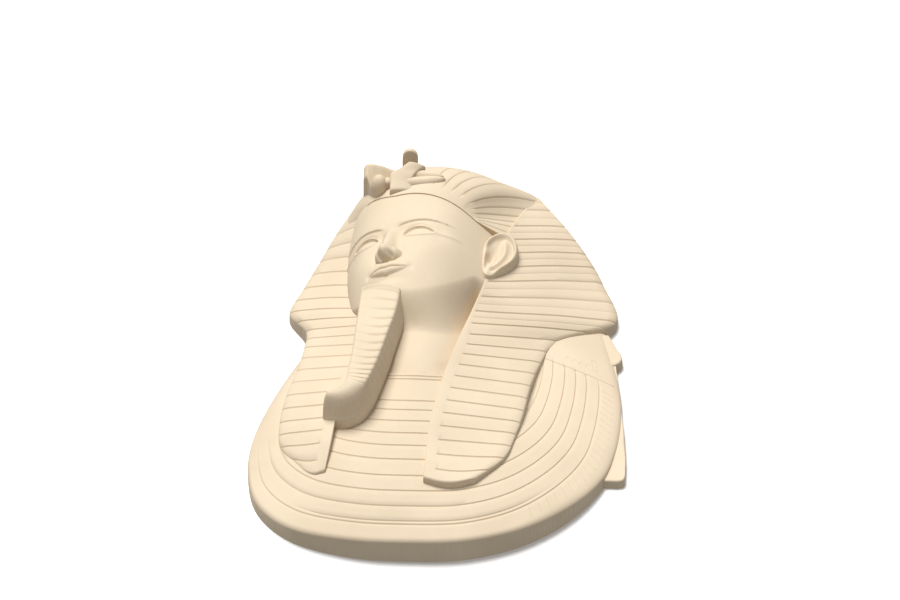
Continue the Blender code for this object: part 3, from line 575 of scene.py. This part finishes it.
def face_forward(across, level):
    """How far forward the face is, with its features: past the cheek its right side bends to the ear."""
    width = HEAD_HALF_WIDTH - 13 * max(0.0, (BROW_LEVEL - level) / 100) ** 2
    reach = min(abs(across) / width, CHEEK_SHARE if across > 0 else 0.985)
    past = max(0.0, across / width - CHEEK_SHARE)
    slope = CHEEK_SHARE / math.sqrt(1 - CHEEK_SHARE**2)
    past = slope * past + CHEEK_CURVE * past**2
    face = -HEAD_DEPTH * (1 - math.sqrt(1 - reach**2) + past) - 5 * ease(level, BROW_LEVEL, HEAD_TOP)
    face -= 4 * ease(BROW_LEVEL - level, 40, 100)
    cheek = 3 * bump(abs(across) - 38, 17) * bump(level - NOSE_LEVEL - 14, 20)
    upper = face + nose(across, level) + eye(across, level) + brow(across, level)
    return upper + mouth(across, level) + cheek


def head_point(across, level):
    """A point of the head and neck: the face over a round neck, tucked in above the headcloth's edge."""
    forward = face_forward(across, level)
    face = (
        HEAD_X + across * math.cos(HEAD_TURN) - forward * math.sin(HEAD_TURN),
        HEAD_HEIGHT + forward * math.cos(HEAD_TURN) + across * math.sin(HEAD_TURN),
    )
    off = across * NECK_SPREAD
    turned = min(abs(off) / NECK_RADIUS, 0.98)
    neck = (NECK_X + off, NECK_TOP - NECK_RADIUS * (1 - math.sqrt(1 - turned**2)))
    shown = ease(level, CHIN_LEVEL - 30 + jaw_rise(across), CHIN_LEVEL + 5 + jaw_rise(across))
    x, z = mix(neck, face, shown)
    z -= TUCK * ease(level - band_level(across), 1.5, 6)
    ring = math.hypot((x - NECK_CENTRE[0]) / NECK_HALF_WIDTH, min(level - NECK_CENTRE[1], 0) / NECK_DROP)
    if level < NECK_CENTRE[1]:
        angle = math.atan2((NECK_CENTRE[1] - level) / NECK_DROP, (NECK_CENTRE[0] - x) / NECK_HALF_WIDTH)
        under = neck_ring(angle)[2] - 1.3 - 8 * ease(ring, 1.005, 1.05)
        z = mix(z, under, ease(ring, 0.8, 0.99) * (1 - shown))
    return (x, level, z)


def head_row(level, sides):
    """One row of the head's grid: level in the middle, and swept up with the jaw towards the sides."""
    if level < CHIN_LEVEL:
        swept = (level - HEAD_BOTTOM) / (CHIN_LEVEL - HEAD_BOTTOM)
    else:
        swept = max(0.0, (BROW_LEVEL - level) / (BROW_LEVEL - CHIN_LEVEL))
    return [head_point(across, level + jaw_rise(across) * swept) for across in sides]


def forehead_row(share, beyond, sides):
    """A row between the brows and the headcloth's edge at a share of the way, or some way beyond the edge."""
    return [head_point(across, mix(FOREHEAD_LEVEL, band_level(across), share) + beyond) for across in sides]


def head(shape):
    """Head and neck: one grid, closest where the features are."""
    levels = spread(HEAD_BOTTOM, CHIN_LEVEL - 32, 20) + spread(CHIN_LEVEL - 30, CHIN_LEVEL + 10, 24)
    levels += spread(CHIN_LEVEL + 11, NOSE_LEVEL - 5, 42) + spread(NOSE_LEVEL - 4.5, NOSE_LEVEL + 8.5, 36)
    levels += spread(NOSE_LEVEL + 9, NOSE_LEVEL + 20, 14) + spread(NOSE_LEVEL + 21, EYE_LEVEL - 9, 8)
    levels += spread(EYE_LEVEL - 8, FOREHEAD_LEVEL, 50)
    sides = spread(-73, -50, 18) + spread(-49, 49, 126) + spread(50, HEAD_REACH, 22)
    rows = [head_row(level, sides) for level in levels]
    rows += [forehead_row(share, 0.0, sides) for share in spread(0.06, 1.0, 14)]
    rows += [forehead_row(1.0, beyond, sides) for beyond in (1.0, 2.0, 3.5, 5.0, 7.0, 12.0)]
    relief(shape, rows)


def ear_height(u, v, share):
    """Height of the ear over its plane: u and v run from -1 to 1 across and up it, share from its middle."""
    low = ease(-v, 0.45, 0.85)
    front = ease(-u, 0.55, 0.85) * ease(0.35 - v, 0.0, 0.3)
    helix = 4.2 * bump(share - 0.87, 0.1) * (1 - 0.75 * low) * (1 - 0.8 * front)
    fold_far = math.hypot(u + 0.32, (v + 0.02) * 0.95)
    antihelix = 3.2 * bump(fold_far - 0.62, 0.16) * ease(u, -0.35, 0.05) * (1 - ease(abs(v), 0.6, 0.85))
    concha = -6.5 * bump(math.hypot(u + 0.3, (v + 0.1) * 0.85), 0.38)
    fossa = -2.2 * bump(math.hypot(u + 0.12, v - 0.6), 0.17)
    trough = -0.7 * bump(share - 0.74, 0.06) * ease(u, -0.2, 0.3) * (1 - low)
    tragus = 4.2 * bump(math.hypot(u + 0.74, (v + 0.16) * 0.8), 0.17)
    below = 3.0 * bump(math.hypot(u + 0.2, v + 0.52), 0.15)
    lobe = 1.8 * bump(math.hypot(u + 0.1, (v + 0.82) * 1.2), 0.3)
    return helix + antihelix + concha + fossa + trough + tragus + below + lobe


def ear(shape):
    """Ear: a shell with a rolled rim, an inner fold, a hollow, the small flap before it and a lobe."""
    rows = []
    for share in [1.0, 0.995, 0.985, 0.97] + spread(0.95, 0.02, 36):
        row = []
        for step in range(EAR_STEPS):
            angle = 2 * math.pi * step / EAR_STEPS
            u, v = share * math.cos(angle), share * math.sin(angle)
            narrow = 1 - 0.42 * ease(-v, -0.4, 1)
            x = EAR_HALF_WIDTH * (u * narrow - 0.1 * ease(-v, 0.0, 1.0))
            y = EAR_HALF_LENGTH * v
            height = EAR_HEIGHT + ear_height(u, v, share) - 5 * ease(share, 0.955, 1.0) + x * EAR_SLOPE
            turned = (
                x * math.cos(EAR_LEAN) - y * math.sin(EAR_LEAN),
                x * math.sin(EAR_LEAN) + y * math.cos(EAR_LEAN),
            )
            row.append((EAR_CENTRE[0] + turned[0], EAR_CENTRE[1] + turned[1], height))
        rows.append(row)
    relief(shape, rows, ring=True)


def chain(points, value):
    """The height at a value along a chain of (value, height) points."""
    for (low, first), (high, second) in zip(points, points[1:]):
        if value <= high:
            return mix(first, second, (value - low) / (high - low))
    return points[-1][1]


def beard(shape):
    """Plaited beard: a tapering pad with a steep right side, a ridge at its top and a soft-fronted hook."""
    rows = []
    steps = BEARD_PLAITS * PLAIT_ROWS
    for step in range(steps + 1):
        place = step / steps
        start, end = spline(BEARD_LEFT, place), spline(BEARD_RIGHT, place)
        width = math.dist(start[:2], end[:2])
        narrow = min(1.0, width / BEARD_FULL_WIDTH)
        hooked = ease(place, 0.58, 0.74)
        between = abs(2 * (step % PLAIT_ROWS) / PLAIT_ROWS - 1) ** 6
        deep = PLAIT_DEPTH * between * (1 - ease(place, 0.55, 0.7)) * ease(place, 0.02, 0.06)
        ends = 3.5 * (1 - ease(place, 0.0, 0.012)) + 5 * ease(place, 0.96, 1.0) ** 2
        ends -= 2.0 * bump(place - 0.018, 0.012)
        row = []
        insides = [gap * narrow for gap in BEARD_LEFT_STEPS]
        insides += spread(5.5 * narrow, width - 21 * narrow, 16)
        for inside in insides + [width - gap * narrow for gap in BEARD_RIGHT_STEPS]:
            part = inside / width
            right = (width - inside) / narrow
            x, y, z = mix(start, end, part)
            middle = 1 - (2 * part - 1) ** 2
            side = mix(chain(BEARD_SIDE, right), chain(HOOK_FRONT, right), hooked)
            plait = deep * ease(right, 0.0, 4.0) * mix(0.4, 1, ease(part, 0.2, 0.6))
            drop = quarter_round(inside, 4) + side + plait + ends
            bow = BEARD_TOP_BOW * (1 - ease(place, 0.0, 0.2)) - PLAIT_SAG * (1 - ease(place, 0.3, 0.6))
            row.append((x, y + bow * middle, z - drop))
        rows.append(row)
    relief(shape, rows[::-1])


def hood(shape):
    """Cobra's spread hood, rising from the brow band and leaning to one side."""
    rows = []
    for place in [0.0, 0.01, 0.03, 0.06] + spread(0.1, 0.94, 30) + [0.97, 0.99, 1.0]:
        start, end = spline(HOOD_LEFT, place), spline(HOOD_RIGHT, place)
        width = math.dist(start[:2], end[:2])
        drop = quarter_round(place * HOOD_RISE, 2.5) + quarter_round((1 - place) * HOOD_RISE, 2)
        row = []
        for part in [0.0, 0.02, 0.05] + spread(0.1, 0.9, 18) + [0.95, 0.98, 1.0]:
            x, y, z = mix(start, end, part)
            edge = quarter_round(part * width, 2) + quarter_round((1 - part) * width, 1.5)
            row.append((x, y, z + 1.5 * (1 - (2 * part - 1) ** 2) - edge - drop))
        rows.append(row)
    relief(shape, rows)


def dome(shape, centre, radii, base, rise):
    """Upright block over an oval, up to the height base, with a domed top that rises by rise."""
    rows = []
    for turn in spread(0, 84, 15):
        share = math.cos(math.radians(turn))
        height = base + rise * math.sin(math.radians(turn))
        row = []
        for step in range(DOME_STEPS):
            angle = 2 * math.pi * step / DOME_STEPS
            x, y = share * math.cos(angle), share * math.sin(angle)
            row.append((centre[0] + radii[0] * x, centre[1] + radii[1] * y, height))
        rows.append(row)
    relief(shape, rows, ring=True)


def crest(shape):
    """Crest behind the vulture's head: high at its left end, sloping to the front and out to the right."""
    rows = []
    for x in spread(CREST_BACK[0][0], CREST_BACK[-1][0], 40):
        back, front = chain(CREST_BACK, x), chain(CREST_FRONT, x)
        edge = quarter_round(x - CREST_BACK[0][0], 3)
        row = []
        for across in [0.0, 0.02, 0.05, 0.1] + spread(0.16, 0.9, 16) + [0.95, 0.98, 1.0]:
            y = mix(front, CREST_BACK_Y, across)
            drop = quarter_round(y - front, 2.5) + quarter_round(CREST_BACK_Y - y, 4)
            slope = mix(*CREST_SLOPES, ease(x, -88, -76))
            row.append((x, y, back - slope * (CREST_BACK_Y - y) - drop - edge))
        rows.append(row[::-1])
    relief(shape, rows)


def cobra_head(shape):
    """Cobra's head: an upright block with an arched top and a plain front."""
    rows = []
    for inside in [0.0, 0.3, 0.8, 1.5] + spread(2.5, COBRA_DEPTH, 8):
        row = []
        for turn in spread(180, 0, 25):
            x = COBRA_HEAD[0] + COBRA_HALF_WIDTH * math.cos(math.radians(turn))
            top = mix(COBRA_BASE, COBRA_TOP, math.sin(math.radians(turn)) ** 0.8)
            z = top - quarter_round(inside, 1.5) - 4 * ease(inside, 4, COBRA_DEPTH)
            row.append((x, COBRA_HEAD[1] + inside, z))
        rows.append(row)
    relief(shape, rows)


def strand(shape, start, end, width, rise):
    """Rounded ridge that tapers to its end, for one turn of the cobra's coil."""
    length = math.dist(start[:2], end[:2])
    along = ((end[0] - start[0]) / length, (end[1] - start[1]) / length)
    rows = []
    for place in spread(0.0, 1.0, 30):
        x, y, z = mix(start, end, place)
        fullness = (1 - place**5) ** 0.65
        half = width * fullness / 2 + 0.2
        row = []
        for turn in spread(-90, 90, 13):
            angle = math.radians(turn)
            off = half * math.sin(angle)
            height = z - COIL_DIP * (1 - fullness) + rise * (math.cos(angle) - 1)
            row.append((x - along[1] * off, y + along[0] * off, height))
        rows.append(row)
    relief(shape, rows)


def ornaments(shape):
    """Vulture's head and rearing cobra on the brow band, with the coil of the cobra's body."""
    hood(shape)
    crest(shape)
    cobra_head(shape)
    dome(shape, COBRA_NECK, COBRA_NECK_RADII, COBRA_NECK_BASE, COBRA_NECK_RISE)
    dome(shape, VULTURE_HEAD, VULTURE_RADII, VULTURE_BASE, VULTURE_RISE)
    dome(shape, BEAK, BEAK_RADII, BEAK_BASE, BEAK_RADII[0])
    strand(shape, *COIL_LOWER, COIL_WIDTH, COIL_RISE)
    strand(shape, *COIL_UPPER, COIL_WIDTH, COIL_RISE)


def slab(shape, outline, height):
    """Flat-topped form over an outline, its upper edge a little rounded."""
    middle = [sum(point[axis] for point in outline) / len(outline) for axis in (0, 1)]
    rows = []
    for inside in (0.0, 0.3, 0.8, 1.5, 2.5, 4.0):
        row = []
        for x, y in outline:
            reach = math.dist((x, y), middle)
            row.append((*mix((x, y), middle, inside / reach), height - quarter_round(inside, 2.5)))
        rows.append(row)
    relief(shape, rows, ring=True)


def fine(outline, count):
    """An outline with this many points along each of its straight sides."""
    points = []
    for start, end in zip(outline, outline[1:] + outline[:1]):
        points += [mix(start, end, index / count) for index in range(count)]
    return points


def trims(shape):
    """Tail of the headcloth behind the collar on the right, and the shoulder's end above it."""
    slab(shape, fine(TAIL_OUTLINE, 8), TAIL_THICKNESS)
    slab(shape, fine(SHOULDER_OUTLINE, 4), SHOULDER_THICKNESS)


def carved_relief(unit):
    """The whole figure as one mesh that lies on its back; unit is a drawing unit in metres."""
    shape = bmesh.new()
    for form in (collar, collar_marks, head, crown, ear, beard, ornaments, trims):
        form(shape)
    side_panel(shape, RIGHT_INNER, RIGHT_OUTER, FAINT_FROM)
    side_panel(shape, LEFT_INNER, LEFT_OUTER, STRIPES)
    for vertex in shape.verts:
        x, y, z = vertex.co
        vertex.co = ((x - CENTRE_X) * unit, (y - CENTRE_Y) * unit, z * unit)
    bmesh.ops.recalc_face_normals(shape, faces=shape.faces)
    for face in shape.faces:
        face.smooth = True
    mesh = bpy.data.meshes.new("carved_relief")
    shape.to_mesh(mesh)
    shape.free()
    mesh.set_sharp_from_angle(angle=SHARP_ANGLE)
    piece = bpy.data.objects.new("carved_relief", mesh)
    bpy.context.scene.collection.objects.link(piece)
    return piece


def cream_stone():
    """Matt cream limestone: soft mottling, fine grain and pores, and faint tool streaks on steep sides."""
    stone = bpy.data.materials.new("cream_stone")
    stone.use_nodes = True
    nodes, links = stone.node_tree.nodes, stone.node_tree.links
    shader = nodes["Principled BSDF"]
    coordinates = nodes.new("ShaderNodeTexCoord")

    def noise(scale, detail):
        """Noise over the stone; scale is in spots per metre, for x, y and z."""
        spots = nodes.new("ShaderNodeTexNoise")
        spots.inputs["Scale"].default_value = 1.0
        spots.inputs["Detail"].default_value = detail
        stretch = nodes.new("ShaderNodeMapping")
        stretch.inputs["Scale"].default_value = scale
        links.new(coordinates.outputs["Object"], stretch.inputs["Vector"])
        links.new(stretch.outputs["Vector"], spots.inputs["Vector"])
        return spots.outputs["Fac"]

    def remap(value, low, high):
        """A value between 0 and 1, moved into a range."""
        node = nodes.new("ShaderNodeMapRange")
        node.inputs["From Min"].default_value = 0.3
        node.inputs["From Max"].default_value = 0.7
        node.inputs["To Min"].default_value = low
        node.inputs["To Max"].default_value = high
        links.new(value, node.inputs["Value"])
        return node.outputs["Result"]

    mottle = nodes.new("ShaderNodeMix")
    mottle.data_type = "RGBA"
    mottle.inputs["A"].default_value = STONE_DARK
    mottle.inputs["B"].default_value = STONE_LIGHT
    links.new(remap(noise(MOTTLE_SPOTS, 5), 0.0, 1.0), mottle.inputs["Factor"])
    speck = nodes.new("ShaderNodeMix")
    speck.data_type = "RGBA"
    speck.blend_type = "MULTIPLY"
    speck.inputs["Factor"].default_value = 1.0
    links.new(mottle.outputs["Result"], speck.inputs["A"])
    grey = nodes.new("ShaderNodeCombineColor")
    grain = remap(noise(GRAIN_SPOTS, 3), 0.955, 1.0)
    for channel in ("Red", "Green", "Blue"):
        links.new(grain, grey.inputs[channel])
    links.new(grey.outputs["Color"], speck.inputs["B"])
    links.new(speck.outputs["Result"], shader.inputs["Base Color"])
    links.new(remap(noise(SHEEN_SPOTS, 4), 0.72, 0.86), shader.inputs["Roughness"])

    direction = nodes.new("ShaderNodeNewGeometry")
    split = nodes.new("ShaderNodeSeparateXYZ")
    links.new(direction.outputs["True Normal"], split.inputs["Vector"])
    upright = nodes.new("ShaderNodeMapRange")
    upright.inputs["From Min"].default_value = 0.35
    upright.inputs["From Max"].default_value = 0.1
    links.new(split.outputs["Z"], upright.inputs["Value"])
    streaks = nodes.new("ShaderNodeBump")
    streaks.inputs["Distance"].default_value = STREAK_DEPTH
    links.new(upright.outputs["Result"], streaks.inputs["Strength"])
    links.new(noise(STREAK_SPOTS, 2), streaks.inputs["Height"])
    pores = nodes.new("ShaderNodeBump")
    pores.inputs["Strength"].default_value = PORE_STRENGTH
    pores.inputs["Distance"].default_value = PORE_DEPTH
    links.new(noise(PORE_SPOTS, 4), pores.inputs["Height"])
    links.new(streaks.outputs["Normal"], pores.inputs["Normal"])
    links.new(pores.outputs["Normal"], shader.inputs["Normal"])
    return stone


def studio(unit):
    """Pale floor, soft light from above and the camera at the picture's angle; unit is in metres."""
    bpy.context.scene.view_settings.view_transform = "Standard"
    bpy.ops.mesh.primitive_plane_add(size=FLOOR_SIZE, location=(0, 0, 0))
    floor = bpy.context.object
    floor.name = "floor"
    paint = bpy.data.materials.new("floor_paint")
    paint.use_nodes = True
    surface = paint.node_tree.nodes["Principled BSDF"]
    surface.inputs["Base Color"].default_value = FLOOR_COLOUR
    surface.inputs["Roughness"].default_value = 1.0
    floor.data.materials.append(paint)
    floor.visible_diffuse = False
    world = bpy.data.worlds.new("studio")
    world.use_nodes = True
    sky = world.node_tree.nodes["Background"]
    sky.inputs["Color"].default_value = (1, 1, 1, 1)
    sky.inputs["Strength"].default_value = SKY_LIGHT
    bpy.context.scene.world = world
    lamp = bpy.data.lights.new("key", "SUN")
    lamp.energy = SUN_LIGHT
    lamp.angle = SUN_SPREAD
    key = bpy.data.objects.new("key", lamp)
    key.rotation_euler = SUN_LEAN
    bpy.context.scene.collection.objects.link(key)
    lens = bpy.data.cameras.new("camera")
    lens.type = "ORTHO"
    pixel = PIXEL * unit
    lens.ortho_scale = PICTURE_WIDTH * pixel
    camera = bpy.data.objects.new("camera", lens)
    back = Vector((
        math.sin(AZIMUTH) * math.cos(ELEVATION),
        -math.cos(AZIMUTH) * math.cos(ELEVATION),
        math.sin(ELEVATION),
    ))
    right = Vector((math.cos(AZIMUTH), math.sin(AZIMUTH), 0))
    up = back.cross(right)
    origin = Vector((-CENTRE_X * unit, -CENTRE_Y * unit, 0))
    aim = origin + right * ORIGIN_LEFT * pixel + up * ORIGIN_BELOW * pixel
    camera.location = aim + back * CAMERA_DISTANCE
    camera.rotation_mode = "QUATERNION"
    camera.rotation_quaternion = (-back).to_track_quat("-Z", "Y")
    bpy.context.scene.collection.objects.link(camera)
    bpy.context.scene.camera = camera


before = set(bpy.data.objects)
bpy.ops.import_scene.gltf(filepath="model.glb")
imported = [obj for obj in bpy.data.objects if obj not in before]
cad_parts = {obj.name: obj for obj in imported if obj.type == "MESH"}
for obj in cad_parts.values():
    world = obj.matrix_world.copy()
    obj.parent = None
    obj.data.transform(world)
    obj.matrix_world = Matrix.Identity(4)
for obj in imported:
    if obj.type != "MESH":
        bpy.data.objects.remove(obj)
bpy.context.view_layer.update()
low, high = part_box("pharaoh_relief")
unit = (high.y - low.y) / DRAWN_LENGTH
stone_piece = carved_relief(unit)
stone_piece.data.materials.append(cream_stone())
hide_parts("pharaoh_relief")
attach(stone_piece, "root")
studio(unit)
